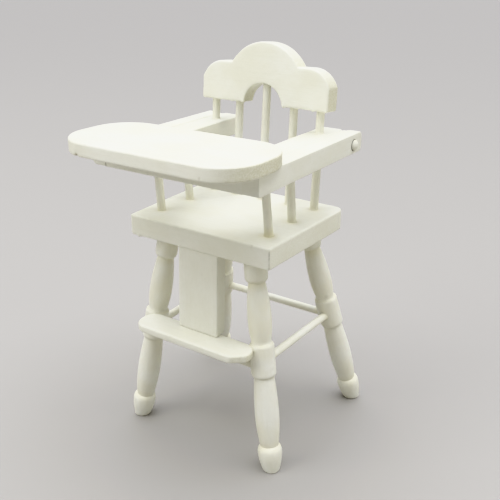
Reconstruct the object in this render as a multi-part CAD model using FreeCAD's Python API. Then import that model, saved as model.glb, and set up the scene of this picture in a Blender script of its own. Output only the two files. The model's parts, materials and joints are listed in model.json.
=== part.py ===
import FreeCAD, Part
import math
import os

from FreeCAD import Vector

# A doll's house high chair in painted wood, in millimetres.  The sitter faces -Y and +Z is up.
# Boards are sawn from flat stock, legs are turned, spindles and stretchers are plain dowel, and
# every dowel end is glued in a blind hole.  The tray, its two arms and a cross rail are one
# frame that swings up and over the back on two pins driven into the fixed armrests.

# Seat board
seat_front_width = 40.0
seat_rear_flare = 1.0
seat_depth = 33.0
seat_thickness = 5.1
seat_top = 57.5
seat_corner_radius = 2.4
seat_easing = 0.5

# Legs: where they meet the seat, how far they lean, and the turned profile.
# Heights are above the floor, radii are from the leg's own axis.
leg_side_inset = 7.5
front_leg_inset = 5.6
rear_leg_inset = 4.2
front_splay_out = 9.0
front_splay_forward = 5.4
rear_splay_out = 11.2
rear_splay_back = 11.9
foot_toe_radius = 2.05
foot_radius = 2.93
foot_height = 4.8
ankle_radius = 2.2
ankle_height = 6.4
lower_swell_radius = 2.9
lower_swell_share = 0.45
lower_neck_radius = 2.35
collar_radius = 2.95
collar_length = 8.0
collar_middle = 27.8
collar_round = 0.6
upper_neck_radius = 2.2
upper_swell_radius = 2.8
upper_swell_share = 0.38
cup_neck_radius = 1.95
cup_radius = 2.7
cup_length = 6.0
cup_round = 1.4
leg_tenon_radius = 1.6

# Dowels
spindle_radius = 0.99
stretcher_radius = 1.0
stretcher_tenon = 1.6
side_stretcher_drop = 0.6
rear_stretcher_drop = 1.25
front_stretcher_drop = 2.05

# Footrest and calf board
footrest_depth = 7.4
footrest_thickness = 2.0
footrest_end = 0.3
footrest_corner_radius = 3.5
footrest_drop = 0.1
footrest_scribe = 1.25
footrest_easing = 0.35
calf_board_width = 11.3
calf_board_thickness = 3.3
calf_board_setback = 0.7
calf_board_overlap = 2.2

# Armrests, and the outer arms of the tray beside them
arm_height = 13.9
arm_thickness = 4.75
armrest_width = 6.2
arm_spindle_inset = 4.9
armrest_overlap_rear = 3.9
tray_arm_width = 4.15
tray_arm_reach = 8.0
arm_end_radius = 1.2
arm_easing = 0.35
front_spindle_inset = 6.7
arm_spindle_lean = 5.3
front_spindle_tuck = 1.7

# Back
back_spindle_inset = 5.2
inner_spindle_share = 0.52
back_spindle_lean = 4.0
crest_height = 24.0
crest_thickness = 4.4
crest_lean = 5.0
crest_end_height = 5.4
crest_shoulder_height = 9.5
crest_shoulder_radius = 6.4
crest_hump_radius = 11.0
crest_hump_centre = 3.6
crest_easing = 0.4
arch_radius = 5.4
arch_centre = -0.5
arch_corner_round = 0.5
crest_socket = 3.4

# Tray
tray_width = 22.4
tray_overhang_front = 10.1
tray_overhang_side = 1.65
tray_thickness = 3.1
tray_corner_radius = 9.1
tray_easing = 0.6
cross_rail_depth = 4.2

# Hinge pins
pin_shank_radius = 0.6
pin_head_radius = 1.35
pin_head_height = 0.85
pin_from_arm_end = 4.0
pin_below_arm_middle = 0.3
pin_reach = 4.0

# Clearances
glue_gap = 0.02
pin_running_gap = 0.05
pin_head_gap = 0.1
arm_side_gap = 0.1
tray_rest_gap = 0.1
rail_gap = 0.3
crest_side_gap = 0.3
socket_share = 0.45
run_out = 1.5

# Levels and places that follow from the sizes above
seat_bottom = seat_top - seat_thickness
seat_rear_width = seat_front_width + 2 * seat_rear_flare
seat_front = -seat_depth / 2
seat_rear = seat_depth / 2
seat_socket = seat_thickness * socket_share
arm_socket = arm_thickness * socket_share
arm_bottom = seat_top + arm_height
arm_top = arm_bottom + arm_thickness
armrest_top = arm_top - tray_rest_gap
armrest_middle_x = seat_front_width / 2 - arm_spindle_inset
armrest_inner_x = armrest_middle_x - armrest_width / 2
armrest_outer_x = armrest_middle_x + armrest_width / 2
tray_arm_inner_x = armrest_outer_x + arm_side_gap
tray_arm_outer_x = tray_arm_inner_x + tray_arm_width
arm_rear = seat_rear + armrest_overlap_rear
tray_arm_front = seat_front - tray_arm_reach
armrest_front = tray_arm_front + cross_rail_depth + rail_gap
tray_front = tray_arm_front - tray_overhang_front
tray_half_length = tray_arm_outer_x + tray_overhang_side
crest_bottom = seat_top + crest_height
crest_half_length = tray_arm_inner_x - crest_side_gap
collar_bottom = collar_middle - collar_length / 2
collar_top = collar_middle + collar_length / 2
footrest_top = collar_top - footrest_drop
pin_y = arm_rear - pin_from_arm_end
pin_z = arm_bottom + arm_thickness / 2 - pin_below_arm_middle


def mirrored(point):
    """The same point on the other side of the chair."""
    return Vector(-point.x, point.y, point.z)


def lean(degrees):
    """Sideways run for each millimetre of height."""
    return math.tan(math.radians(degrees))


def at_height(low, high, z):
    """The point at height z on the line through low and high."""
    return low + (high - low) * ((z - low.z) / (high.z - low.z))


def towards(start, end, distance):
    """The point that lies a distance from start on the way to end."""
    way = end - start
    return start + way * (distance / way.Length)


def dowel(start, end, radius):
    """A round rod between two points."""
    way = end - start
    return Part.makeCylinder(radius, way.Length, start, way)


def polyline(points):
    return Part.makePolygon(points)


def arc(first, middle, last):
    return Part.Arc(first, middle, last).toShape()


def line(first, last):
    return Part.LineSegment(first, last).toShape()


def swell(points):
    """A smooth turned curve through the points."""
    curve = Part.BSplineCurve()
    curve.interpolate(points)
    return curve.toShape()


def block(low_x, high_x, low_y, high_y, low_z, high_z):
    size = (high_x - low_x, high_y - low_y, high_z - low_z)
    return Part.makeBox(*size, Vector(low_x, low_y, low_z))


def rounded(shape, radius, wanted):
    """The shape with each edge rounded whose two ends satisfy the wanted test."""
    edges = []
    for edge in shape.Edges:
        first = edge.Vertexes[0].Point
        last = edge.Vertexes[-1].Point
        if wanted(first, last):
            edges.append(edge)
    return shape.makeFillet(radius, edges)


def upright(first, last):
    return abs(first.z - last.z) > 1e-6


def level(first, last):
    return abs(first.z - last.z) < 1e-6


# --- Lines that the round pieces follow, for the right-hand side (+X) ---------

leg_rise = seat_bottom
front_leg_top = Vector(seat_front_width / 2 - leg_side_inset, seat_front + front_leg_inset, seat_bottom)
rear_leg_top = Vector(front_leg_top.x, seat_rear - rear_leg_inset, seat_bottom)
front_foot = Vector(
    front_leg_top.x + leg_rise * lean(front_splay_out),
    front_leg_top.y - leg_rise * lean(front_splay_forward),
    0,
)
rear_foot = Vector(
    rear_leg_top.x + leg_rise * lean(rear_splay_out),
    rear_leg_top.y + leg_rise * lean(rear_splay_back),
    0,
)

front_spindle_y = seat_front + front_spindle_inset
back_spindle_y = seat_rear - back_spindle_inset
mid_spindle_y = (front_spindle_y + back_spindle_y) / 2


def arm_spindle_line(y, tuck):
    """Seat and armrest ends of an arm spindle's axis; it leans forward, and in by its tuck."""
    low = Vector(armrest_middle_x + tuck * arm_height * lean(1), y, seat_top)
    high = Vector(armrest_middle_x, y - arm_height * lean(arm_spindle_lean), arm_bottom)
    return low, high


def back_spindle_line(x):
    """Seat and crest ends of a back spindle's axis; it leans back."""
    low = Vector(x, back_spindle_y, seat_top)
    high = Vector(x, back_spindle_y + crest_height * lean(back_spindle_lean), crest_bottom)
    return low, high


def spindle_between(low, high, low_depth, high_depth):
    """Axis of a whole spindle, carried on into the sockets at both ends."""
    way = high - low
    step = way * (1 / way.Length)
    return low - step * low_depth, high + step * high_depth


# --- Turned legs ---------------------------------------------------------------

def turned_leg(top, foot):
    """A leg turned about its own axis, cut flat at the floor and under the seat, with its tenon."""
    axis = top - foot
    along = axis.Length / top.z

    def at(radius, height):
        return Vector(radius, 0, height * along)

    lower_swell = ankle_height + (collar_bottom - ankle_height) * lower_swell_share
    cup_bottom = seat_bottom - cup_length
    upper_swell = collar_top + (cup_bottom - collar_top) * upper_swell_share
    soft = math.sqrt(0.5)
    foot_shoulder = foot_radius - ankle_radius
    shoulder_rise = ankle_height - foot_height
    cup_step = cup_radius - cup_neck_radius
    toe_step = foot_radius - foot_toe_radius
    profile = [
        line(at(0, -run_out), at(foot_toe_radius, -run_out)),
        line(at(foot_toe_radius, -run_out), at(foot_toe_radius, 0)),
        arc(
            at(foot_toe_radius, 0),
            at(foot_toe_radius + toe_step * 0.65, foot_height / 2),
            at(foot_radius, foot_height),
        ),
        arc(
            at(foot_radius, foot_height),
            at(ankle_radius + foot_shoulder * soft, foot_height + shoulder_rise * soft),
            at(ankle_radius, ankle_height),
        ),
        swell([
            at(ankle_radius, ankle_height),
            at(lower_swell_radius, lower_swell),
            at(lower_neck_radius, collar_bottom),
        ]),
        arc(
            at(lower_neck_radius, collar_bottom),
            at(lower_neck_radius + (collar_radius - lower_neck_radius) * soft,
               collar_bottom + collar_round * (1 - soft)),
            at(collar_radius, collar_bottom + collar_round),
        ),
        line(at(collar_radius, collar_bottom + collar_round), at(collar_radius, collar_top - collar_round)),
        arc(
            at(collar_radius, collar_top - collar_round),
            at(upper_neck_radius + (collar_radius - upper_neck_radius) * soft,
               collar_top - collar_round * (1 - soft)),
            at(upper_neck_radius, collar_top),
        ),
        swell([
            at(upper_neck_radius, collar_top),
            at(upper_swell_radius, upper_swell),
            at(cup_neck_radius, cup_bottom),
        ]),
        arc(
            at(cup_neck_radius, cup_bottom),
            at(cup_neck_radius + cup_step * soft, cup_bottom + cup_round * (1 - soft)),
            at(cup_radius, cup_bottom + cup_round),
        ),
        line(at(cup_radius, cup_bottom + cup_round), at(cup_radius, seat_bottom + run_out)),
        line(at(cup_radius, seat_bottom + run_out), at(0, seat_bottom + run_out)),
        line(at(0, seat_bottom + run_out), at(0, -run_out)),
    ]
    blank = Part.Face(Part.Wire(profile)).revolve(Vector(0, 0, 0), Vector(0, 0, 1), 360)
    blank.Placement = FreeCAD.Placement(foot, FreeCAD.Rotation(Vector(0, 0, 1), axis))
    reach = seat_rear_width
    slab = block(-reach * 2, reach * 2, -reach * 2, reach * 2, 0, seat_bottom)
    body = blank.common(slab)
    tenon = dowel(top - axis * (cup_length / 2 / axis.Length), leg_tenon_tip(top, foot), leg_tenon_radius)
    return body.fuse(tenon).removeSplitter()


def leg_tenon_tip(top, foot):
    axis = top - foot
    return top + axis * (seat_socket / axis.Length)


legs = {
    "leg_front_right": (front_leg_top, front_foot),
    "leg_front_left": (mirrored(front_leg_top), mirrored(front_foot)),
    "leg_rear_right": (rear_leg_top, rear_foot),
    "leg_rear_left": (mirrored(rear_leg_top), mirrored(rear_foot)),
}
pieces = {}
for name, (top, foot) in legs.items():
    pieces[name] = turned_leg(top, foot)


# --- Stretchers, dowelled into the legs' collars ---------------------------------

def stretcher(first_leg, second_leg, height):
    """A dowel between two collars; its ends stop short of the legs' axes."""
    start = at_height(legs[first_leg][1], legs[first_leg][0], height)
    end = at_height(legs[second_leg][1], legs[second_leg][0], height)
    short = collar_radius - stretcher_tenon
    low = towards(start, end, short)
    high = towards(end, start, short)
    for leg in (first_leg, second_leg):
        pieces[leg] = pieces[leg].cut(dowel(low, high, stretcher_radius + glue_gap))
    return dowel(low, high, stretcher_radius)


side_height = collar_middle - side_stretcher_drop
pieces["side_stretcher_right"] = stretcher("leg_front_right", "leg_rear_right", side_height)
pieces["side_stretcher_left"] = stretcher("leg_front_left", "leg_rear_left", side_height)
rear_height = collar_middle - rear_stretcher_drop
pieces["rear_stretcher"] = stretcher("leg_rear_left", "leg_rear_right", rear_height)
front_height = collar_middle - front_stretcher_drop
pieces["front_stretcher"] = stretcher("leg_front_left", "leg_front_right", front_height)


# --- Footrest and calf board -------------------------------------------------------

def footrest():
    """A thin board with round corners, scribed to the fronts of the front legs' collars."""
    leg_here = at_height(front_foot, front_leg_top, footrest_top)
    rear = leg_here.y - collar_radius + footrest_scribe
    half = leg_here.x + footrest_end
    bottom = footrest_top - footrest_thickness
    board = block(-half, half, rear - footrest_depth, rear, bottom, footrest_top)
    board = rounded(board, min(footrest_corner_radius, footrest_depth / 2 - footrest_easing), upright)
    board = rounded(board, footrest_easing, level)
    for name in ("leg_front_right", "leg_front_left"):
        top, foot = legs[name]
        board = board.cut(dowel(foot, top, collar_radius + glue_gap))
    return board, rear


def calf_board(footrest_rear):
    """A flat board that stands on the footrest and is glued up under the seat's front edge."""
    top_y = seat_front + calf_board_setback
    foot_y = footrest_rear - calf_board_overlap
    corners = [
        Vector(-calf_board_width / 2, foot_y, footrest_top),
        Vector(-calf_board_width / 2, foot_y + calf_board_thickness, footrest_top),
        Vector(-calf_board_width / 2, top_y + calf_board_thickness, seat_bottom),
        Vector(-calf_board_width / 2, top_y, seat_bottom),
    ]
    side = Part.Face(polyline(corners + corners[:1]))
    return side.extrude(Vector(calf_board_width, 0, 0))


pieces["footrest"], footrest_rear = footrest()
pieces["calf_board"] = calf_board(footrest_rear)

# --- Spindles ------------------------------------------------------------------------

spindles = {}
outer_x = armrest_middle_x
inner_x = outer_x * inner_spindle_share
back_places = {
    "back_spindle_outer_left": -outer_x,
    "back_spindle_inner_left": -inner_x,
    "back_spindle_centre": 0,
    "back_spindle_inner_right": inner_x,
    "back_spindle_outer_right": outer_x,
}
arch_apex = arch_radius + arch_centre
for name, x in back_places.items():
    depth = crest_socket
    if abs(x) < arch_radius:
        depth = crest_socket + arch_apex
    low, high = back_spindle_line(x)
    spindles[name] = spindle_between(low, high, seat_socket, depth)
arm_places = {"front": (front_spindle_y, front_spindle_tuck), "mid": (mid_spindle_y, 0)}
for place, (y, tuck) in arm_places.items():
    low, high = arm_spindle_line(y, tuck)
    ends = spindle_between(low, high, seat_socket, arm_socket)
    spindles[f"arm_spindle_{place}_right"] = ends
    spindles[f"arm_spindle_{place}_left"] = (mirrored(ends[0]), mirrored(ends[1]))
for name, (low, high) in spindles.items():
    pieces[name] = dowel(low, high, spindle_radius)


def drilled_for_spindles(board):
    """The board with a hole for every spindle that reaches it."""
    for low, high in spindles.values():
        drill = dowel(low, high, spindle_radius + glue_gap)
        if board.BoundBox.intersect(drill.BoundBox):
            board = board.cut(drill)
    return board


# --- Seat ------------------------------------------------------------------------------

def seat_board():
    """A board a little wider at the back, with its rear corners rounded."""
    corners = [
        Vector(-seat_front_width / 2, seat_front, seat_bottom),
        Vector(seat_front_width / 2, seat_front, seat_bottom),
        Vector(seat_rear_width / 2, seat_rear, seat_bottom),
        Vector(-seat_rear_width / 2, seat_rear, seat_bottom),
    ]
    board = Part.Face(polyline(corners + corners[:1])).extrude(Vector(0, 0, seat_thickness))
    board = rounded(board, seat_corner_radius, lambda a, b: upright(a, b) and a.y > 0)
    board = rounded(board, seat_easing, level)
    for top, foot in legs.values():
        board = board.cut(dowel(foot, leg_tenon_tip(top, foot), leg_tenon_radius + glue_gap))
    return drilled_for_spindles(board)


pieces["seat_board"] = seat_board()

# --- Armrests, tray arms and pins --------------------------------------------------------

def sawn_arm(low_x, high_x, front, top):
    """A straight arm with its rear end rounded and its long edges eased."""
    arm = block(low_x, high_x, front, arm_rear, arm_bottom, top)
    arm = rounded(arm, arm_end_radius, lambda a, b: a.y > arm_rear - 1e-6 and b.y > arm_rear - 1e-6 and level(a, b))
    return rounded(arm, arm_easing, lambda a, b: level(a, b) and abs(a.y - b.y) > arm_rear)


def pin(side):
    """A domed nail through the tray arm, driven into the armrest."""
    seat_of_head = side * (tray_arm_outer_x + pin_head_gap)
    tip = side * (armrest_outer_x - pin_reach)
    shank = dowel(Vector(tip, pin_y, pin_z), Vector(seat_of_head, pin_y, pin_z), pin_shank_radius)
    dome_radius = (pin_head_radius ** 2 + pin_head_height ** 2) / (2 * pin_head_height)
    centre = seat_of_head + side * (pin_head_height - dome_radius)
    ball = Part.makeSphere(dome_radius, Vector(centre, pin_y, pin_z))
    crown_end = seat_of_head + side * pin_head_height * 2
    crown = dowel(Vector(seat_of_head, pin_y, pin_z), Vector(crown_end, pin_y, pin_z), pin_head_radius * 2)
    return shank.fuse(ball.common(crown))


for side, word in ((1, "right"), (-1, "left")):
    inner = sorted((side * armrest_inner_x, side * armrest_outer_x))
    armrest = sawn_arm(inner[0], inner[1], armrest_front, armrest_top)
    axis_in = Vector(side * (armrest_outer_x - pin_reach), pin_y, pin_z)
    axis_out = Vector(side * (tray_arm_outer_x + 1), pin_y, pin_z)
    armrest = armrest.cut(dowel(axis_in, axis_out, pin_shank_radius + glue_gap))
    pieces[f"armrest_{word}"] = drilled_for_spindles(armrest)
    outer = sorted((side * tray_arm_inner_x, side * tray_arm_outer_x))
    tray_arm = sawn_arm(outer[0], outer[1], tray_arm_front, arm_top)
    pieces[f"tray_arm_{word}"] = tray_arm.cut(dowel(axis_in, axis_out, pin_shank_radius + pin_running_gap))
    pieces[f"pivot_pin_{word}"] = pin(side)

# --- Crest rail ------------------------------------------------------------------------------

def crest_rail():
    """A board with two round shoulders, a half-round hump and an arch cut in its lower edge."""
    shoulder_centre = crest_shoulder_height - crest_shoulder_radius
    shoulder_angle = math.asin((crest_end_height - shoulder_centre) / crest_shoulder_radius)
    knee_angle = (shoulder_angle + math.pi / 2) / 2
    rise = crest_shoulder_height - crest_hump_centre
    hump_x = math.sqrt(crest_hump_radius ** 2 - rise ** 2)
    arch_x = math.sqrt(arch_radius ** 2 - arch_centre ** 2)

    def at(x, height):
        return Vector(x, 0, height)

    half = crest_half_length
    flat_x = half - crest_shoulder_radius * math.cos(shoulder_angle)
    knee_x = flat_x + crest_shoulder_radius * math.cos(knee_angle)
    knee_height = shoulder_centre + crest_shoulder_radius * math.sin(knee_angle)
    outline = [
        line(at(-half, 0), at(-half, crest_end_height)),
        arc(at(-half, crest_end_height), at(-knee_x, knee_height), at(-flat_x, crest_shoulder_height)),
        line(at(-flat_x, crest_shoulder_height), at(-hump_x, crest_shoulder_height)),
        arc(at(-hump_x, crest_shoulder_height), at(0, crest_hump_centre + crest_hump_radius),
            at(hump_x, crest_shoulder_height)),
        line(at(hump_x, crest_shoulder_height), at(flat_x, crest_shoulder_height)),
        arc(at(flat_x, crest_shoulder_height), at(knee_x, knee_height), at(half, crest_end_height)),
        line(at(half, crest_end_height), at(half, 0)),
        line(at(half, 0), at(arch_x, 0)),
        arc(at(arch_x, 0), at(0, arch_apex), at(-arch_x, 0)),
        line(at(-arch_x, 0), at(-half, 0)),
    ]
    board = Part.Face(Part.Wire(outline)).extrude(Vector(0, crest_thickness, 0))
    board = rounded(
        board, arch_corner_round,
        lambda a, b: abs(abs(a.x) - arch_x) < 1e-6 and abs(a.y - b.y) > 1e-6 and abs(a.z) < 1e-6,
    )
    board = rounded(board, crest_easing, lambda a, b: abs(a.y - b.y) < 1e-6)
    middle = back_spindle_y + crest_height * lean(back_spindle_lean)
    front = middle - crest_thickness / 2
    board.Placement = FreeCAD.Placement(
        Vector(0, front, crest_bottom), FreeCAD.Rotation(Vector(1, 0, 0), -crest_lean))
    return drilled_for_spindles(board)


pieces["crest_rail"] = crest_rail()

# --- Tray ------------------------------------------------------------------------------------

def tray_board():
    board = block(
        -tray_half_length, tray_half_length,
        tray_front, tray_front + tray_width,
        arm_top, arm_top + tray_thickness,
    )
    board = rounded(board, min(tray_corner_radius, tray_width / 2 - tray_easing), upright)
    return rounded(board, tray_easing, level)


pieces["tray_board"] = tray_board()
pieces["tray_cross_rail"] = block(
    -tray_arm_inner_x, tray_arm_inner_x,
    tray_arm_front, tray_arm_front + cross_rail_depth,
    arm_bottom, arm_top,
)

# --- Put the origin on the floor, under the middle of the whole chair, and write the files ------

whole = Part.makeCompound(list(pieces.values()))
box = whole.optimalBoundingBox(False, False)
to_middle = Vector(0, -(box.YMin + box.YMax) / 2, 0)
os.makedirs("parts", exist_ok=True)
for name, shape in pieces.items():
    shape.translate(to_middle)
    shape.exportStep(f"parts/{name}.step")
print("overall", round(box.XLength, 3), round(box.YLength, 3), round(box.ZLength, 3))
print("tray hinge axis at y", round(pin_y + to_middle.y, 4), "z", round(pin_z, 4))
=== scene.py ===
import json
import math

import bmesh
import bpy
from mathutils import Matrix, Vector, geometry, kdtree, noise


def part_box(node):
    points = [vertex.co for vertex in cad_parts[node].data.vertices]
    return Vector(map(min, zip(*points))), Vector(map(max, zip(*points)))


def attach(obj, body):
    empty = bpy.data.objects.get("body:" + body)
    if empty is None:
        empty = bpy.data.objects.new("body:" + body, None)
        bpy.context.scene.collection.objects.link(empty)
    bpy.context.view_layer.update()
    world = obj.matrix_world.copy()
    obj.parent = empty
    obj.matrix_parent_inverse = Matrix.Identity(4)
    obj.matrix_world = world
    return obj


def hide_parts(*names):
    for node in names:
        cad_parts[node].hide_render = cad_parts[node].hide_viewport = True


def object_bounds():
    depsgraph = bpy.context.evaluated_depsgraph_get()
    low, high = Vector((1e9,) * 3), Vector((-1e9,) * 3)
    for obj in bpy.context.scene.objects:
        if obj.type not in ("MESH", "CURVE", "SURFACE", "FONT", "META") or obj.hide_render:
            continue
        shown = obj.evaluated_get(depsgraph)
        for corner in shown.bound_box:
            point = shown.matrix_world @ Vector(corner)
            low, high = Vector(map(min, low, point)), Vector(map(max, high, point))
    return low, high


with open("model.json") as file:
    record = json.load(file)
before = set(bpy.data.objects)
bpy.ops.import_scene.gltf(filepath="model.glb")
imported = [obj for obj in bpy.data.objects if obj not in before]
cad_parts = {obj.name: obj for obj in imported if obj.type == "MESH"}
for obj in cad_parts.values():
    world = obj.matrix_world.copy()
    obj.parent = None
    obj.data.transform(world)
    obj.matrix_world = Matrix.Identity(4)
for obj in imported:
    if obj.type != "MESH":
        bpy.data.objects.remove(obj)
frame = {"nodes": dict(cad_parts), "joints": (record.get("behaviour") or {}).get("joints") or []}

cad_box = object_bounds()
mm = 0.001

# --- Camera ---------------------------------------------------------------------------------
# It stands in front of the chair, to the right, a little above the crest rail, and looks down
# at the seat through a slightly long lens.

eye = Vector((93.7, -128.8, 114.7)) * mm
turned_left = 33.96
tilted_down = 22.53

camera = bpy.data.objects.new("camera", bpy.data.cameras.new("camera"))
camera.data.lens = 51.0
camera.data.sensor_width = 36.0
camera.data.clip_start = 0.01
camera.location = eye
camera.rotation_euler = (math.radians(90 - tilted_down), 0, math.radians(turned_left))
bpy.context.scene.collection.objects.link(camera)
bpy.context.scene.camera = camera

# --- Seat board -----------------------------------------------------------------------------
# A sawn board, a little wider at the back, with its rear corners rounded and its arrises
# sanded.  It is drilled for every spindle, and brushed with ivory oil paint.

point_gap = 0.4 * mm
easing_steps = 4


def straight(start, end):
    """Evenly spaced points from start up to, and not including, end."""
    way = Vector(end) - Vector(start)
    count = max(1, round(way.length / point_gap))
    return [Vector(start) + way * (i / count) for i in range(count)]


def bow(centre, radius, first, last):
    """Evenly spaced points on an arc between two angles in degrees, both ends included."""
    sweep = math.radians(last - first)
    count = max(easing_steps, round(abs(sweep) * radius / point_gap))
    points = []
    for i in range(count + 1):
        angle = math.radians(first) + sweep * i / count
        points.append(Vector(centre) + radius * Vector((math.cos(angle), math.sin(angle))))
    return points


def sawn_outline(corners):
    """Points round a closed shape, anticlockwise, from its corners (x, y, radius)."""
    points = []
    bends = []
    for i, (x, y, radius) in enumerate(corners):
        here = Vector((x, y))
        back = (Vector(corners[i - 1][:2]) - here).normalized()
        onward = (Vector(corners[(i + 1) % len(corners)][:2]) - here).normalized()
        half = back.angle(onward) / 2
        centre = here + (back + onward).normalized() * (radius / math.sin(half))
        first = here + back * (radius / math.tan(half)) - centre
        turn = 180 - math.degrees(2 * half)
        start = math.degrees(math.atan2(first.y, first.x))
        bends.append(bow(centre, radius, start, start + turn))
    for i, bend in enumerate(bends):
        points += bend[:-1]
        points += straight(bend[-1], bends[(i + 1) % len(bends)][0])
    return points


def within(point, outline):
    """Whether a point lies inside a closed outline."""
    odd = False
    for a, b in zip(outline, outline[1:] + outline[:1]):
        if (a.y > point.y) != (b.y > point.y):
            if point.x < a.x + (point.y - a.y) / (b.y - a.y) * (b.x - a.x):
                odd = not odd
    return odd


def plank(name, outline, thickness, easing, place, face_gap=0.9 * mm):
    """A board of that outline with eased arrises, as an object; place is where it lies."""
    count = len(outline)
    inward = []
    for i, here in enumerate(outline):
        a = (here - outline[i - 1]).orthogonal().normalized()
        b = (outline[(i + 1) % count] - here).orthogonal().normalized()
        middle = (a + b).normalized()
        inward.append(middle / max(0.4, middle.dot(a)))
    rows = []
    for k in range(easing_steps + 1):
        angle = math.pi / 2 * k / easing_steps
        rows.append((easing * (1 - math.sin(angle)), easing * (1 - math.cos(angle))))
    side = thickness - 2 * easing
    side_rows = max(1, round(side / point_gap))
    for k in range(1, side_rows):
        rows.append((0, easing + side * k / side_rows))
    for inset, drop in reversed(rows[:easing_steps + 1]):
        rows.append((inset, thickness - drop))

    mesh = bmesh.new()
    loops = []
    for inset, drop in rows:
        loop = []
        for here, into in zip(outline, inward):
            flat = here + into * inset
            loop.append(mesh.verts.new((flat.x, flat.y, thickness - drop)))
        loops.append(loop)
    for upper, lower in zip(loops, loops[1:]):
        for i in range(count):
            j = (i + 1) % count
            mesh.faces.new((upper[j], upper[i], lower[i], lower[j]))
    rim = [here + into * easing for here, into in zip(outline, inward)]
    near = kdtree.KDTree(count)
    for i, point in enumerate(rim):
        near.insert((point.x, point.y, 0), i)
    near.balance()
    low_x, high_x = min(p.x for p in rim), max(p.x for p in rim)
    low_y, high_y = min(p.y for p in rim), max(p.y for p in rim)
    across = int((high_x - low_x) / face_gap)
    along = int((high_y - low_y) / face_gap)
    lattice = []
    for i in range(across + 1):
        for j in range(along + 1):
            shift = face_gap / 2 * (j % 2)
            point = Vector((low_x + i * face_gap + shift, low_y + j * face_gap))
            if near.find((point.x, point.y, 0))[2] > face_gap * 0.5 and within(point, rim):
                lattice.append(point)
    edges = [(i, (i + 1) % count) for i in range(count)]
    flat, _, triangles, _, _, _ = geometry.delaunay_2d_cdt(rim + lattice, edges, [], 1, 1e-9)
    for loop, height, order in ((loops[0], thickness, 1), (loops[-1], 0, -1)):
        corners = list(loop)
        for point in flat[count:]:
            corners.append(mesh.verts.new((point.x, point.y, height)))
        for triangle in triangles:
            mesh.faces.new([corners[i] for i in triangle][::order])
    mesh.transform(place)
    bmesh.ops.recalc_face_normals(mesh, faces=mesh.faces)
    data = bpy.data.meshes.new(name)
    mesh.to_mesh(data)
    mesh.free()
    piece = bpy.data.objects.new(name, data)
    bpy.context.scene.collection.objects.link(piece)
    return piece


def rod_mesh(rods, sides=40):
    """One mesh of round rods, each given by its start, end and radius."""
    mesh = bmesh.new()
    for start, end, radius in rods:
        way = end - start
        turn = way.to_track_quat("Z", "Y").to_matrix().to_4x4()
        place = Matrix.Translation((start + end) / 2) @ turn
        bmesh.ops.create_cone(
            mesh, cap_ends=True, segments=sides, radius1=radius, radius2=radius,
            depth=way.length, matrix=place,
        )
    data = bpy.data.meshes.new("rods")
    mesh.to_mesh(data)
    mesh.free()
    return data


def settled(piece):
    """The piece's modifiers are worked into its mesh and taken off."""
    bpy.context.view_layer.update()
    made = piece.evaluated_get(bpy.context.evaluated_depsgraph_get())
    data = bpy.data.meshes.new_from_object(made)
    piece.modifiers.clear()
    piece.data = data
    data.name = piece.name
    return piece


def bored(piece, rods, operation="DIFFERENCE"):
    """The piece with holes drilled where the rods go, or with the rods joined on."""
    cutter = bpy.data.objects.new("drill", rod_mesh(rods))
    bpy.context.scene.collection.objects.link(cutter)
    cut = piece.modifiers.new("drill", "BOOLEAN")
    cut.operation = operation
    cut.solver = "EXACT"
    cut.object = cutter
    settled(piece)
    bpy.data.objects.remove(cutter)
    return piece


def rod_ends(node):
    """The two end centres of a straight round node of the frame, lower or nearer end first."""
    spots = [v.co.copy() for v in frame["nodes"][node].data.vertices]
    low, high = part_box(node)
    middle = (low + high) / 2
    long_axis = max(range(3), key=lambda k: high[k] - low[k])
    ends = []
    for first in (True, False):
        group = [s for s in spots if (s[long_axis] < middle[long_axis]) == first]
        unique = {tuple(round(c, 8) for c in s) for s in group}
        ends.append(sum((Vector(s) for s in unique), Vector()) / len(unique))
    return ends


def in_between(start, end, axis, value):
    """The point on the line through start and end whose coordinate on that axis is value."""
    return start + (end - start) * ((value - start[axis]) / (end[axis] - start[axis]))


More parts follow.
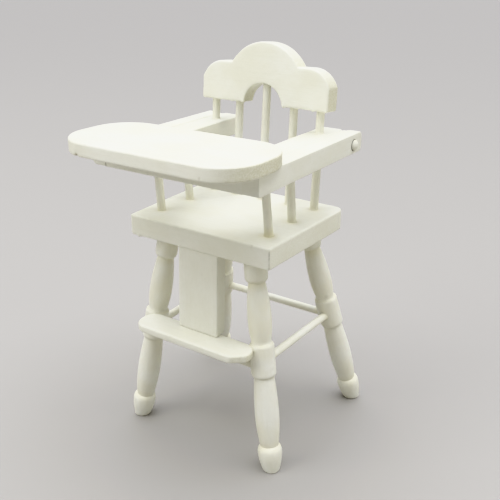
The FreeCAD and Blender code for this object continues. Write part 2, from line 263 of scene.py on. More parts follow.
def weathered(
    piece, grain, seed, waviness=0.02 * mm, torn=0.0, soak_and_shade=1.0,
    glue_and_crevice_spots=(), nicks=(), drips=(), crack_shadows=(),
):
    """Makes the faces slightly uneven and marks what the paint shows: end grain, glue, wear, and
    painted shade in cracks, joints and hollows.  torn is how rough the saw left the end grain and
    the arrises, and soak is how much the end grain is darkened, by paint sunk into it and by
    painted shade.  A drip with a negative rise is a dent.  Nothing is moved outside the chair's
    box."""
    wave = 5 * mm
    tear = 0.8 * mm
    deep_nick = 0.25 * mm
    mesh = piece.data
    shift = Vector((seed * 3.1, seed * 1.7, seed * 2.3))
    spots = [v.co.copy() for v in mesh.vertices]
    normals = [n.vector.copy() for n in mesh.vertex_normals]
    marks = {name: [0.0] * len(spots) for name in ("end_grain_soak_and_shade", "glue_and_crevice_shade", "bare", "crack_shade")}
    for i, (spot, normal) in enumerate(zip(spots, normals)):
        ends = abs(normal.dot(grain))
        # End grain is darkened: soaked paint, and painted shade on faces across the grain.
        marks["end_grain_soak_and_shade"][i] = soak_and_shade * max(0.0, ends - 0.35) / 0.65
        arris = max(0.0, 1 - abs(max(abs(c) for c in normal) - 0.75) / 0.2)
        ragged = noise.noise(spot / tear + shift)
        marks["bare"][i] = 0.8 * arris * max(0.0, ragged - 0.3) * (torn > 0)
        move = waviness * noise.noise(spot / wave + shift)
        move += torn * ragged * max(marks["end_grain_soak_and_shade"][i], 0.6 * arris)
        # Yellowed spots: glue at joints, and painted shade in crevices and hollows.
        for point, reach, strength in glue_and_crevice_spots:
            close = max(0.0, 1 - (spot - point).length / reach)
            marks["glue_and_crevice_shade"][i] = max(marks["glue_and_crevice_shade"][i], strength * close)
        for point, reach, depth in nicks:
            close = max(0.0, 1 - (spot - point).length / reach)
            move -= depth * close ** 0.5
            laid_bare = min(1.0, depth / deep_nick) * min(1.0, 1.3 * close)
            marks["bare"][i] = max(marks["bare"][i], laid_bare)
        for point, reach, rise in drips:
            close = max(0.0, 1 - (spot - point).length / reach)
            move += rise * close * close * (3 - 2 * close)
        # Crack shadows are painted shade: a dark line along cracks, grooves and seams.
        for start, end, reach in crack_shadows:
            way = end - start
            share = min(1.0, max(0.0, (spot - start).dot(way) / way.length_squared))
            close = max(0.0, 1 - (spot - start - way * share).length / reach)
            marks["crack_shade"][i] = max(marks["crack_shade"][i], close * min(1.0, 0.75 + ragged))
        moved = spot + normal * move
        for k in range(3):
            moved[k] = min(max(moved[k], cad_box[0][k]), cad_box[1][k])
        mesh.vertices[i].co = moved
    for name, values in marks.items():
        mesh.attributes.new(name, "FLOAT", "POINT").data.foreach_set("value", values)
    return piece


def brushed_paint(name, grain, bench="", thin_coat=(0.765, 0.757, 0.640)):
    """Ivory paint over wood: brush streaks along the grain, rougher and duller on end grain, and
    darker there from soaked paint and painted shade.
    thin_coat is its colour where it is thin; bench is the attribute a turned piece keeps its
    place on the lathe in."""
    material = bpy.data.materials.new(name)
    material.use_nodes = True
    tree = material.node_tree
    shader = tree.nodes["Principled BSDF"]
    link = tree.links.new

    def add(kind, **settings):
        node = tree.nodes.new(kind)
        for key, value in settings.items():
            setattr(node, key, value)
        return node

    def stretched_noise(across, along, detail, roughness):
        stretch = add("ShaderNodeMapping")
        scale = [across] * 3
        scale[grain] = along
        stretch.inputs["Scale"].default_value = scale
        texture = add("ShaderNodeTexNoise")
        texture.inputs["Scale"].default_value = 1.0
        texture.inputs["Detail"].default_value = detail
        texture.inputs["Roughness"].default_value = roughness
        link(place, stretch.inputs["Vector"])
        link(stretch.outputs["Vector"], texture.inputs["Vector"])
        return texture.outputs["Fac"]

    def between(value, low, high, to_low, to_high):
        fit = add("ShaderNodeMapRange", clamp=True)
        link(value, fit.inputs["Value"])
        for key, number in zip(
            ("From Min", "From Max", "To Min", "To Max"), (low, high, to_low, to_high),
        ):
            fit.inputs[key].default_value = number
        return fit.outputs["Result"]

    def blended(share, under, over):
        mix = add("ShaderNodeMix", data_type="RGBA")
        link(share, mix.inputs["Factor"])
        for socket, colour in ((mix.inputs["A"], under), (mix.inputs["B"], over)):
            if isinstance(colour, tuple):
                socket.default_value = (*colour, 1)
            else:
                link(colour, socket)
        return mix.outputs["Result"]

    def mark(attribute):
        return add("ShaderNodeAttribute", attribute_name=attribute).outputs["Fac"]

    def product(a, b):
        times = add("ShaderNodeMath", operation="MULTIPLY")
        link(a, times.inputs[0])
        link(b, times.inputs[1])
        return times.outputs["Value"]

    if bench:
        place = add("ShaderNodeAttribute", attribute_name=bench).outputs["Vector"]
    else:
        place = add("ShaderNodeTexCoord").outputs["Object"]
    streaks = stretched_noise(1900, 90, 3, 0.55)
    fibres = stretched_noise(5200, 420, 2, 0.6)
    clouds = stretched_noise(130, 90, 3, 0.5)
    speckle = stretched_noise(3000, 3000, 2, 0.5)
    pores = stretched_noise(1100, 700, 3, 0.65)
    raw_and_shaded_end = product(mark("end_grain_soak_and_shade"), between(speckle, 0.35, 0.62, 0.4, 1))

    full_coat = (0.800, 0.798, 0.700)
    brush_track = (0.715, 0.705, 0.585)
    open_pore = (0.725, 0.717, 0.605)
    # Soaked paint and painted shade on the end grain.
    soaked_and_shaded_end = (0.585, 0.565, 0.385)
    # Yellowed glue at joints, and painted shade in crevices and the hollows of the turning.
    glue_and_crevice_tone = (0.680, 0.625, 0.370)
    bare_wood = (0.300, 0.255, 0.160)
    # Painted shade: near black, laid along cracks, grooves and seams.
    crack_shade_tone = (0.130, 0.115, 0.075)
    glue_and_crevice_share = product(mark("glue_and_crevice_shade"), between(clouds, 0.2, 0.7, 0.6, 1))
    tone = blended(between(clouds, 0.38, 0.66, 0, 1), full_coat, thin_coat)
    tone = blended(between(streaks, 0.52, 0.74, 0, 0.22), tone, brush_track)
    tone = blended(between(pores, 0.48, 0.70, 0, 0.32), tone, open_pore)
    tone = blended(between(raw_and_shaded_end, 0, 1, 0, 0.8), tone, soaked_and_shaded_end)
    tone = blended(glue_and_crevice_share, tone, glue_and_crevice_tone)
    tone = blended(mark("bare"), tone, bare_wood)
    tone = blended(mark("crack_shade"), tone, crack_shade_tone)
    link(tone, shader.inputs["Base Color"])
    sheen = between(streaks, 0.3, 0.75, 0.36, 0.5)
    worn = add("ShaderNodeMath", operation="ADD")
    link(sheen, worn.inputs[0])
    link(between(mark("end_grain_soak_and_shade"), 0, 1, 0, 0.2), worn.inputs[1])
    link(worn.outputs["Value"], shader.inputs["Roughness"])

    bumps = None
    for height, depth in (
        (streaks, 0.025 * mm), (pores, 0.034 * mm), (fibres, 0.012 * mm), (speckle, 0.014 * mm),
    ):
        bump = add("ShaderNodeBump")
        bump.inputs["Distance"].default_value = depth
        link(height, bump.inputs["Height"])
        if bumps:
            link(bumps, bump.inputs["Normal"])
        bumps = bump.outputs["Normal"]
    link(bumps, shader.inputs["Normal"])
    return material


def fitted(piece, body, node, paint=None):
    """Shades the piece, paints it unless it is painted, and puts it in its node's place."""
    mesh = piece.data
    mesh.shade_smooth()
    mesh.set_sharp_from_angle(angle=math.radians(38))
    if paint:
        mesh.materials.clear()
        mesh.materials.append(paint)
    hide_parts(node)
    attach(piece, body)
    return piece


along_x, along_y, along_z = range(3)
axes = [Vector((1, 0, 0)), Vector((0, 1, 0)), Vector((0, 0, 1))]
cross_paint = brushed_paint("brushed_ivory_cross", along_x)

seat_low, seat_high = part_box("seat_board")
seat_thickness = seat_high.z - seat_low.z
seat_flare = 1.0 * mm
seat_front_half = seat_high.x - seat_flare
seat_easing = 0.45 * mm
seat_corner = 0.55 * mm
seat_rear_corner = 2.4 * mm
seat_left_corner = 0.9 * mm
glue_gap = 0.02 * mm
spindle_radius = 1.03
spindle_nodes = sorted(n for n in frame["nodes"] if "spindle" in n)
leg_nodes = sorted(n for n in frame["nodes"] if n.startswith("leg_"))

spindle_holes = []
glue_and_crevice_rings = []
# Yellowed rings round the spindles on the seat: glue, and painted shade in the joints.
for node in spindle_nodes:
    foot, head = rod_ends(node)
    spindle_holes.append((foot, head, spindle_radius * mm + glue_gap))
    strength = 0.9 if node == "arm_spindle_front_right" else 0.4
    glue_and_crevice_rings.append((in_between(foot, head, 2, seat_high.z), 2.6 * mm, strength))

seat = plank(
    "seat_board_painted",
    sawn_outline([
        (-seat_front_half, seat_low.y, seat_left_corner),
        (seat_front_half, seat_low.y, seat_corner),
        (seat_high.x, seat_high.y, seat_rear_corner),
        (seat_low.x, seat_high.y, seat_rear_corner),
    ]),
    seat_thickness, seat_easing, Matrix.Translation((0, 0, seat_low.z)),
)
bored(seat, spindle_holes)
front_corner = Vector((seat_front_half - 0.1 * mm, seat_low.y + 0.1 * mm, 0))
arris_nick = Vector((15.3 * mm, seat_low.y, seat_high.z - 0.15 * mm))
glue_pit = Vector((14.1 * mm, 15.3 * mm, seat_high.z))
paint_bead = Vector((-17.3 * mm, seat_low.y + 0.2 * mm, seat_low.z))
# The thin dark line down the front right corner is painted shade of a crack in the paint there.
weathered(
    seat, axes[along_x], 1, torn=0.03 * mm, soak_and_shade=0.35, glue_and_crevice_spots=glue_and_crevice_rings,
    nicks=[(glue_pit, 0.5 * mm, 0.2 * mm), (arris_nick, 0.5 * mm, 0.06 * mm)],
    drips=[(paint_bead, 0.8 * mm, 0.3 * mm)],
    crack_shadows=[(
        front_corner + Vector((0, 0, seat_low.z + 0.4 * mm)),
        front_corner + Vector((0, 0, seat_high.z - 0.7 * mm)),
        0.17 * mm,
    )],
)
fitted(seat, "frame", "seat_board", cross_paint)

# --- Turned legs ------------------------------------------------------------------------------
# Each leg is turned from one length of beech: foot, long swell, drum collar, second swell and
# cup.  It is sawn off level with the floor and the seat and has a round tenon for the seat.


def lathe():
    """A node tree that turns a line of points, each with its radius, into a round piece."""
    tree = bpy.data.node_groups.new("lathe", "GeometryNodeTree")
    link = tree.links.new

    def add(kind, **settings):
        node = tree.nodes.new(kind)
        for key, value in settings.items():
            setattr(node, key, value)
        return node

    def worked(operation, a, b):
        answer = add("ShaderNodeMath", operation=operation)
        for socket, value in zip(answer.inputs, (a, b)):
            if isinstance(value, float):
                socket.default_value = value
            else:
                link(value, socket)
        return answer.outputs["Value"]

    sockets = {}
    for name, kind in (
        ("Blank", "Geometry"), ("Sides", "Int"), ("Unevenness", "Float"), ("Lump Size", "Float"),
        ("Tool Marks", "Float"), ("Tool Pitch", "Float"), ("Seed", "Float"), ("Paint", "Material"),
    ):
        kind = "NodeSocket" + kind
        sockets[name] = tree.interface.new_socket(name, in_out="INPUT", socket_type=kind)
    tree.interface.new_socket("Turned", in_out="OUTPUT", socket_type="NodeSocketGeometry")
    given = add("NodeGroupInput").outputs

    line = add("GeometryNodeMeshToCurve")
    link(given["Blank"], line.inputs["Mesh"])
    circle = add("GeometryNodeCurvePrimitiveCircle")
    link(given["Sides"], circle.inputs["Resolution"])
    radius = add("GeometryNodeInputNamedAttribute")
    radius.inputs["Name"].default_value = "turned_radius"
    turned_skin = add("GeometryNodeCurveToMesh")
    turned_skin.inputs["Fill Caps"].default_value = True
    link(line.outputs["Curve"], turned_skin.inputs["Curve"])
    link(circle.outputs["Curve"], turned_skin.inputs["Profile Curve"])
    link(radius.outputs["Attribute"], turned_skin.inputs["Scale"])

    spot = add("GeometryNodeInputPosition").outputs["Position"]
    bench_mark = add("GeometryNodeStoreNamedAttribute", data_type="FLOAT_VECTOR")
    bench_mark.inputs["Name"].default_value = "bench"
    link(turned_skin.outputs["Mesh"], bench_mark.inputs["Geometry"])
    link(spot, bench_mark.inputs["Value"])

    lumps = add("ShaderNodeTexNoise", noise_dimensions="4D")
    lumps.inputs["Detail"].default_value = 1.0
    link(spot, lumps.inputs["Vector"])
    link(given["Seed"], lumps.inputs["W"])
    link(worked("DIVIDE", 1.0, given["Lump Size"]), lumps.inputs["Scale"])
    uneven = worked("MULTIPLY", worked("SUBTRACT", lumps.outputs["Fac"], 0.5), given["Unevenness"])
    height = add("ShaderNodeSeparateXYZ")
    link(spot, height.inputs["Vector"])
    phase = worked("MULTIPLY", worked("DIVIDE", height.outputs["Z"], given["Tool Pitch"]), math.tau)
    rings = worked("MULTIPLY", worked("SINE", phase, 0.0), given["Tool Marks"])
    outward = add("ShaderNodeVectorMath", operation="SCALE")
    link(add("GeometryNodeInputNormal").outputs["Normal"], outward.inputs["Vector"])
    link(worked("ADD", uneven, rings), outward.inputs["Scale"])
    moved = add("GeometryNodeSetPosition")
    link(bench_mark.outputs["Geometry"], moved.inputs["Geometry"])
    link(outward.outputs["Vector"], moved.inputs["Offset"])

    real = add("GeometryNodeRealizeInstances")
    link(moved.outputs["Geometry"], real.inputs["Geometry"])
    painted = add("GeometryNodeSetMaterial")
    link(real.outputs["Geometry"], painted.inputs["Geometry"])
    link(given["Paint"], painted.inputs["Material"])
    link(painted.outputs["Geometry"], add("NodeGroupOutput").inputs["Turned"])
    return tree, sockets


lathe_tree, lathe_sockets = lathe()
turned_paint = brushed_paint(
    "brushed_ivory_turned", along_z, bench="bench", thin_coat=(0.760, 0.738, 0.585),
)


def turned(name, profile, start, end, sides, seed, unevenness=0.05, tool_marks=0.0, paint=turned_paint):
    """A round piece that follows the profile, pairs of distance from start and radius."""
    blank = bpy.data.meshes.new(name)
    steps = [(i, i + 1) for i in range(len(profile) - 1)]
    blank.from_pydata([(0, 0, distance) for distance, _ in profile], steps, [])
    radii = blank.attributes.new("turned_radius", "FLOAT", "POINT")
    radii.data.foreach_set("value", [radius for _, radius in profile])
    piece = bpy.data.objects.new(name, blank)
    bpy.context.scene.collection.objects.link(piece)
    turning = piece.modifiers.new("lathe", "NODES")
    turning.node_group = lathe_tree
    for socket, value in (
        ("Sides", sides), ("Unevenness", unevenness * mm), ("Lump Size", 3.5 * mm),
        ("Tool Marks", tool_marks * mm), ("Tool Pitch", 1.1 * mm), ("Seed", float(seed)),
        ("Paint", paint),
    ):
        turning[lathe_sockets[socket].identifier] = value
    settled(piece)
    turn = (end - start).to_track_quat("Z", "Y").to_matrix().to_4x4()
    piece.data.transform(Matrix.Translation(start) @ turn)
    return piece


def quarter(low, high, narrow, wide, upward):
    """Points of a rounded shoulder between two heights, widest at the top if upward."""
    points = []
    for i in range(5):
        share = i / 4
        if upward:
            radius = narrow + (wide - narrow) * math.sqrt(1 - (1 - share) ** 2)
        else:
            radius = narrow + (wide - narrow) * math.sqrt(1 - share ** 2)
        points.append((low + (high - low) * share, radius))
    return points


def swell(low, high, share, first, widest, last):
    """Points of a long turned swell, widest at that share of its length."""
    middle = low + (high - low) * share
    count = round((high - low) / 0.4)
    points = []
    for i in range(1, count):
        height = low + (high - low) * i / count
        if height < middle:
            fall = (widest - first) * ((middle - height) / (middle - low)) ** 2
        else:
            fall = (widest - last) * ((height - middle) / (high - middle)) ** 2
        points.append((height, widest - fall))
    return points


def toe(height):
    """A point of the foot, which widens from the floor up to its shoulder."""
    return (height, toe_radius + toe_flare * math.sin(max(0, height) / foot_shoulder * 1.5))


foot_reach = 1.5
toe_radius = 2.05
toe_flare = 0.88
foot_shoulder = 4.8
ankle_height = 6.4
ankle_radius = 2.2
collar_low = 23.8
collar_high = 31.9
collar_rounding = 0.9
collar_radius = 2.95
neck_height = seat_low.z / mm - 6.0
cup_height = seat_low.z / mm - 4.6
neck_radius = 1.95
cup_radius = 2.7

leg_profile = [(-foot_reach, toe_radius), (-0.6, toe_radius)]
leg_profile += [toe(-0.5 + 0.12 * i) for i in range(14)]
leg_profile += [toe(height) for height in (1.5, 2.0, 2.5, 3.0, 3.5, 4.0, 4.4)]
leg_profile += quarter(foot_shoulder, ankle_height, ankle_radius, 2.93, False)
leg_profile += swell(ankle_height, collar_low, 0.45, ankle_radius, 2.9, 2.35)
leg_profile += quarter(collar_low, collar_low + collar_rounding, 2.4, collar_radius, True)
leg_profile += [(collar_low + collar_rounding + 0.4 * i, collar_radius) for i in range(1, 16)]
leg_profile += quarter(collar_high - collar_rounding, collar_high, 2.55, collar_radius, False)
leg_profile += [(32.0, 2.44), (32.2, 2.36)]
upper_swell = swell(31.8, neck_height, 0.38, 2.2, 2.8, neck_radius)
leg_profile += [point for point in upper_swell if point[0] > 32.5]
leg_profile += quarter(neck_height, cup_height, neck_radius, cup_radius, True)
leg_profile += [(cup_height + 0.4 * i, cup_radius) for i in range(1, 16)]

stretcher_radius = 1.0
stretcher_nodes = sorted(n for n in frame["nodes"] if "stretcher" in n)
stretcher_holes = []
for node in stretcher_nodes:
    near_end, far_end = rod_ends(node)
    stretcher_holes.append((near_end, far_end, stretcher_radius * mm + glue_gap))


def level_centre(node, height):
    """The middle of a node's flat cut at that height."""
    rim = [v.co for v in frame["nodes"][node].data.vertices if abs(v.co.z - height) < 1e-6]
    low_x, high_x = min(p.x for p in rim), max(p.x for p in rim)
    low_y, high_y = min(p.y for p in rim), max(p.y for p in rim)
    return Vector(((low_x + high_x) / 2, (low_y + high_y) / 2, height))


def sawn_level(piece, height, keep_above):
    """The piece sawn through at that height and closed with a flat face."""
    mesh = bmesh.new()
    mesh.from_mesh(piece.data)
    cut = bmesh.ops.bisect_plane(
        mesh, geom=mesh.verts[:] + mesh.edges[:] + mesh.faces[:],
        plane_co=(0, 0, height), plane_no=(0, 0, 1),
        clear_inner=keep_above, clear_outer=not keep_above,
    )
    rim = [e for e in cut["geom_cut"] if isinstance(e, bmesh.types.BMEdge)]
    bmesh.ops.edgeloop_fill(mesh, edges=rim)
    bmesh.ops.recalc_face_normals(mesh, faces=mesh.faces)
    mesh.to_mesh(piece.data)
    mesh.free()


def worn_toe(piece, centre, easing):
    """Rounds the lower rim of a foot."""
    for vertex in piece.data.vertices:
        if vertex.co.z < easing:
            depth = min(1.0, 1 - vertex.co.z / easing)
            outward = Vector((vertex.co.x - centre.x, vertex.co.y - centre.y, 0))
            inset = easing * (1 - math.sqrt(1 - depth * depth))
            if outward.length > inset:
                vertex.co -= outward.normalized() * inset


# Runs of thick paint on the legs: height, bearing from the chair's right, reach and rise.
paint_runs = {
    "leg_rear_right": [(33.4, -40, 0.75, 0.34), (24.9, -75, 0.6, 0.25)],
    "leg_front_left": [(49.3, -106, 1.0, 0.3), (46.9, -20, 0.9, 0.25)],
    "leg_rear_left": [(47.6, -75, 0.9, 0.4), (30.6, -100, 0.9, 0.35)],
    "leg_front_right": [(30.6, -125, 1.4, 0.4), (28.7, -120, 1.0, 0.3), (27.0, -10, 0.8, 0.2)],
}
leg_lines = {}
for number, node in enumerate(leg_nodes):
    floor_point = level_centre(node, 0)
    seat_point = level_centre(node, seat_low.z)
    way = (seat_point - floor_point).normalized()
    stretch = 1 / way.z
    profile = []
    for height, radius in leg_profile:
        profile.append((height * stretch * mm + foot_reach * mm, radius * mm))
    start = floor_point - way * foot_reach * mm
    leg = turned(
        node + "_turned", profile, start, seat_point, 56, number + 1,
        unevenness=0.07, tool_marks=0.008,
    )
    sawn_level(leg, 0, True)
    sawn_level(leg, seat_low.z, False)
    worn_toe(leg, floor_point, 0.4 * mm)
    tenon = (seat_point - way * 3 * mm, seat_point + way * 2.2 * mm, 1.6 * mm)
    bored(leg, [tenon], "UNION")
    bored(leg, stretcher_holes)
    drips = []
    for height, bearing, reach, rise in paint_runs[node]:
        middle = in_between(floor_point, seat_point, 2, height * mm)
        angle = math.radians(bearing)
        skin = cup_radius * mm * Vector((math.cos(angle), math.sin(angle), 0))
        drips.append((middle + skin, reach * mm, rise * mm))
    neck = in_between(floor_point, seat_point, 2, neck_height * mm)
    ankle = in_between(floor_point, seat_point, 2, ankle_height * mm)
    # The yellowed marks round the neck and the ankle are painted shade in the hollows of the turning.
    weathered(
        leg, way, number + 10, waviness=0, drips=drips,
        glue_and_crevice_spots=[(neck, 3.0 * mm, 0.9), (ankle, 3.2 * mm, 0.6)],
    )
    fitted(leg, "frame", node)
    leg_lines[node] = (floor_point, seat_point)

# --- Stretchers -------------------------------------------------------------------------------
# Four birch dowels tie the legs.  Their ends are glued into holes in the collars, and the paint
# has gathered into a small ring at each joint.

stretcher_tenon = 1.6


def dowel_profile(length, rings, low_radius, high_radius):
    """A dowel's profile; rings are the places along it where paint or glue has gathered."""
    count = max(8, round(length / 0.45))
    spots = {0.0, length}
    spots.update(length * i / count for i in range(1, count))
    for place, _, run, _ in rings:
        spots.update(place + run * step for step in (-0.2, 0, 0.12, 0.25, 0.4, 0.6, 0.8, 1))
    profile = []
    for spot in sorted(s for s in spots if 0 <= s <= length):
        radius = low_radius + (high_radius - low_radius) * spot / length
        for place, direction, run, rise in rings:
            away = (spot - place) * direction / run
            if -1e-9 <= away < 1:
                radius += rise * (1 - math.sqrt(1 - (1 - away) ** 2))
        if profile and spot - profile[-1][0] < 0.02:
            continue
        profile.append((spot, radius))
    return [(spot * mm, radius * mm) for spot, radius in profile]


for number, node in enumerate(stretcher_nodes):
    near_end, far_end = rod_ends(node)
    length = (far_end - near_end).length / mm
    rings = [(stretcher_tenon - 0.3, 1, 0.9, 0.35), (length - stretcher_tenon + 0.3, -1, 0.9, 0.35)]
    profile = dowel_profile(length, rings, stretcher_radius - 0.02, stretcher_radius - 0.02)
    rail = turned(node + "_dowel", profile, near_end, far_end, 32, number + 21, unevenness=0.04)
    way = (far_end - near_end).normalized()
    # Yellowed rings at both ends: glue, and painted shade where the dowel meets the collar.
    joints = [
        (near_end + way * stretcher_tenon * mm, 2.2 * mm, 0.5),
        (far_end - way * stretcher_tenon * mm, 2.2 * mm, 0.5),
    ]
    weathered(rail, way, number + 30, waviness=0, glue_and_crevice_spots=joints)
    fitted(rail, "frame", node)

# --- Footrest ---------------------------------------------------------------------------------
# A thin board with round corners, the front right one sanded flatter.  Its rear edge is scribed
# to the fronts of the front legs' collars and glued there.

rest_low, rest_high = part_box("footrest")
rest_corner = 3.4 * mm
rest = plank(
    "footrest_painted",
    sawn_outline([
        (rest_low.x, rest_low.y, rest_corner),
        (rest_high.x - 3.3 * mm, rest_low.y, 2.6 * mm),
        (rest_high.x, rest_low.y + 2.7 * mm, 1.3 * mm),
        (rest_high.x, rest_high.y, rest_corner),
        (rest_low.x, rest_high.y, rest_corner),
    ]),
    rest_high.z - rest_low.z, 0.5 * mm, Matrix.Translation((0, 0, rest_low.z)),
)
scribed_radius = collar_radius * mm + glue_gap
bored(rest, [(*leg_lines[f"leg_front_{side}"], scribed_radius) for side in ("left", "right")])
weathered(rest, axes[along_x], 41, waviness=0.04 * mm, torn=0.04 * mm)
fitted(rest, "frame", "footrest", cross_paint)

# --- Calf board -------------------------------------------------------------------------------
# A short upright board behind the sitter's calves.  It stands on the footrest and is glued up
# against the underside of the seat, a little behind its front edge.

calf_low, calf_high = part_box("calf_board")
calf_thickness = 3.3 * mm
calf_corner = 0.3 * mm
calf_easing = 0.28 * mm
calf_height = calf_high.z - calf_low.z
calf_run = calf_high.y - calf_low.y - calf_thickness
upright_paint = brushed_paint("brushed_ivory_upright", along_z)
leaning_forward = Matrix((
    (1, 0, 0, 0),
    (0, calf_run / calf_height, -1, calf_low.y + calf_thickness),
    (0, 1, 0, calf_low.z),
    (0, 0, 0, 1),
))
calf = plank(
    "calf_board_painted",
    sawn_outline([
        (calf_low.x, 0, calf_corner), (calf_high.x, 0, calf_corner),
        (calf_high.x, calf_height, calf_corner), (calf_low.x, calf_height, calf_corner),
    ]),
    calf_thickness, calf_easing, leaning_forward,
)
weathered(calf, axes[along_z], 42, waviness=0.03 * mm, torn=0.03 * mm)
fitted(calf, "frame", "calf_board", upright_paint)

# --- Spindles ---------------------------------------------------------------------------------
# Nine birch dowels, a touch thinner towards the top, stand in glue in the seat's holes.  Four
# carry the armrests and five the crest rail; the outer two of those run through the armrests.

arm_low, arm_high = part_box("armrest_right")
crest_low, crest_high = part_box("crest_rail")
for number, node in enumerate(spindle_nodes):
    foot, head = rod_ends(node)
    way = (head - foot).normalized()
    length = (head - foot).length / mm
    seat_joint = (in_between(foot, head, 2, seat_high.z) - foot).length / mm
    heavy = node == "arm_spindle_front_right"
    rings = [(seat_joint - 0.05, 1, 0.75 if heavy else 0.55, 0.42 if heavy else 0.26)]
    if node.startswith("arm_") or "outer" in node:
        arm_joint = (in_between(foot, head, 2, arm_low.z) - foot).length / mm
        rings.append((arm_joint + 0.05, -1, 0.5, 0.22))
    if "outer" in node:
        through = (in_between(foot, head, 2, arm_high.z) - foot).length / mm
        rings.append((through - 0.05, 1, 0.5, 0.22))
    if node.startswith("back_") and "centre" not in node:
        crest_joint = (in_between(foot, head, 2, crest_low.z + 0.2 * mm) - foot).length / mm
        rings.append((crest_joint + 0.1, -1, 0.5, 0.2))
    profile = dowel_profile(length, rings, spindle_radius, spindle_radius - 0.07)
    spindle = turned(node + "_dowel", profile, foot, head, 32, number + 51, unevenness=0.045)
    # Yellowed ring at the seat: glue, and painted shade in the joint.
    glue_and_crevice_spots = [(foot + way * seat_joint * mm, 3.0 * mm, 1.0 if heavy else 0.5)]
    weathered(spindle, way, number + 60, waviness=0, glue_and_crevice_spots=glue_and_crevice_spots)
    fitted(spindle, "frame", node)

# --- Armrests ---------------------------------------------------------------------------------
# Two straight arms of thicker stock than the tray, rounded at the rear.  Each is drilled for two
# arm spindles from below and right through for the outer back spindle.  The rear end of the seam
# beside the tray arm is rubbed down to a small notch.

length_paint = brushed_paint("brushed_ivory_length", along_y)
arm_easing = {"left": 0.38 * mm, "right": 0.2 * mm}
arm_front_round = 0.45 * mm
arm_rear_round = 1.2 * mm
seam_dent = (1.3 * mm, -0.7 * mm)
pin_shank = 0.6 * mm
hinge = frame["joints"][0]
hinge_point = Vector(hinge["pos_m"])


def side_on(x):
    """Where a board drawn in side view lies, its far face at that x."""
    return Matrix(((0, 0, 1, x), (1, 0, 0, 0), (0, 1, 0, 0), (0, 0, 0, 1)))


def straight_arm(node, easing):
    """An arm in the place of its node, drawn in side view."""
    low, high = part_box(node)
    outline = sawn_outline([
        (low.y, low.z, arm_front_round),
        (high.y, low.z, arm_rear_round),
        (high.y, high.z, arm_rear_round),
        (low.y, high.z, arm_front_round),
    ])
    return plank(node + "_painted", outline, high.x - low.x, easing, side_on(low.x))


for number, side in enumerate(("left", "right")):
    node = f"armrest_{side}"
    armrest = straight_arm(node, arm_easing[side])
    low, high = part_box(node)
    sign = 1 if side == "right" else -1
    pin_low, pin_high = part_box(f"pivot_pin_{side}")
    pin_tip = min(abs(pin_low.x), abs(pin_high.x))
    pin_hole = (
        Vector((sign * pin_tip, hinge_point.y, hinge_point.z)),
        Vector((sign * 0.03, hinge_point.y, hinge_point.z)),
        pin_shank + glue_gap,
    )
    bored(armrest, [*spindle_holes, pin_hole])
    seam_end = Vector((high.x if side == "right" else low.x, high.y - 0.9 * mm, high.z))
    weathered(
        armrest, axes[along_y], number + 71, waviness=0.03 * mm, torn=0.04 * mm, soak_and_shade=0.5,
        drips=[(seam_end, *seam_dent)],
    )
    fitted(armrest, "frame", node, length_paint)

# --- Crest rail -------------------------------------------------------------------------------
# The top of the back: a fretsawn board with a round shoulder each side of a half-round hump and
# an arch cut in its lower edge.  It leans back, and is drilled from below for five spindles.

crest_lean = math.radians(5)
crest_thickness = 4.4 * mm
crest_half = crest_high.x / mm
shoulder_top = 9.5
shoulder_radius = 6.4
side_height = 5.4
hump_radius = 11.0
hump_centre = 3.6
arch_radius = 5.4
arch_centre = -0.5
corner_radius = 0.45
crest_easing = 0.42 * mm


def crest_outline():
    """The fretsawn outline, anticlockwise from the lower right corner, seen from the front."""
    shoulder_centre = shoulder_top - shoulder_radius
    side_angle = math.degrees(math.asin((side_height - shoulder_centre) / shoulder_radius))
    flat_end = crest_half - shoulder_radius * math.cos(math.radians(side_angle))
    hump_angle = math.degrees(math.asin((shoulder_top - hump_centre) / hump_radius))
    corner_reach = arch_radius + corner_radius
    corner_drop = corner_radius - arch_centre
    arch_corner = math.sqrt(corner_reach ** 2 - corner_drop ** 2)
    arch_angle = math.degrees(math.asin(corner_drop / corner_reach))
    inset = crest_half - corner_radius

    def scaled_bow(x, y, radius, first, last):
        return bow((x * mm, y * mm), radius * mm, first, last)

    stretches = [
        scaled_bow(inset, corner_radius, corner_radius, -90, 0),
        scaled_bow(flat_end, shoulder_centre, shoulder_radius, side_angle, 90),
        scaled_bow(0, hump_centre, hump_radius, hump_angle, 180 - hump_angle),
        scaled_bow(-flat_end, shoulder_centre, shoulder_radius, 90, 180 - side_angle),
        scaled_bow(-inset, corner_radius, corner_radius, 180, 270),
        scaled_bow(-arch_corner, corner_radius, corner_radius, -90, -arch_angle),
        scaled_bow(0, arch_centre, arch_radius, 180 - arch_angle, arch_angle)[1:-1],
        scaled_bow(arch_corner, corner_radius, corner_radius, 180 + arch_angle, 270),
    ]
    points = []
    for i, stretch in enumerate(stretches):
        following = stretches[(i + 1) % len(stretches)][0]
        points += stretch[:-1]
        points += straight(stretch[-1], following)
    return points


lower_edge = crest_low.z + crest_thickness * math.sin(crest_lean)
crest_corner = Vector((0, crest_low.y, lower_edge))
lean_back = Matrix.Rotation(math.pi / 2 - crest_lean, 4, "X")
set_back = Matrix.Translation((0, 0, -crest_thickness))
crest_place = Matrix.Translation(crest_corner) @ lean_back @ set_back
crest = plank("crest_rail_painted", crest_outline(), crest_thickness, crest_easing, crest_place)
bored(crest, spindle_holes)

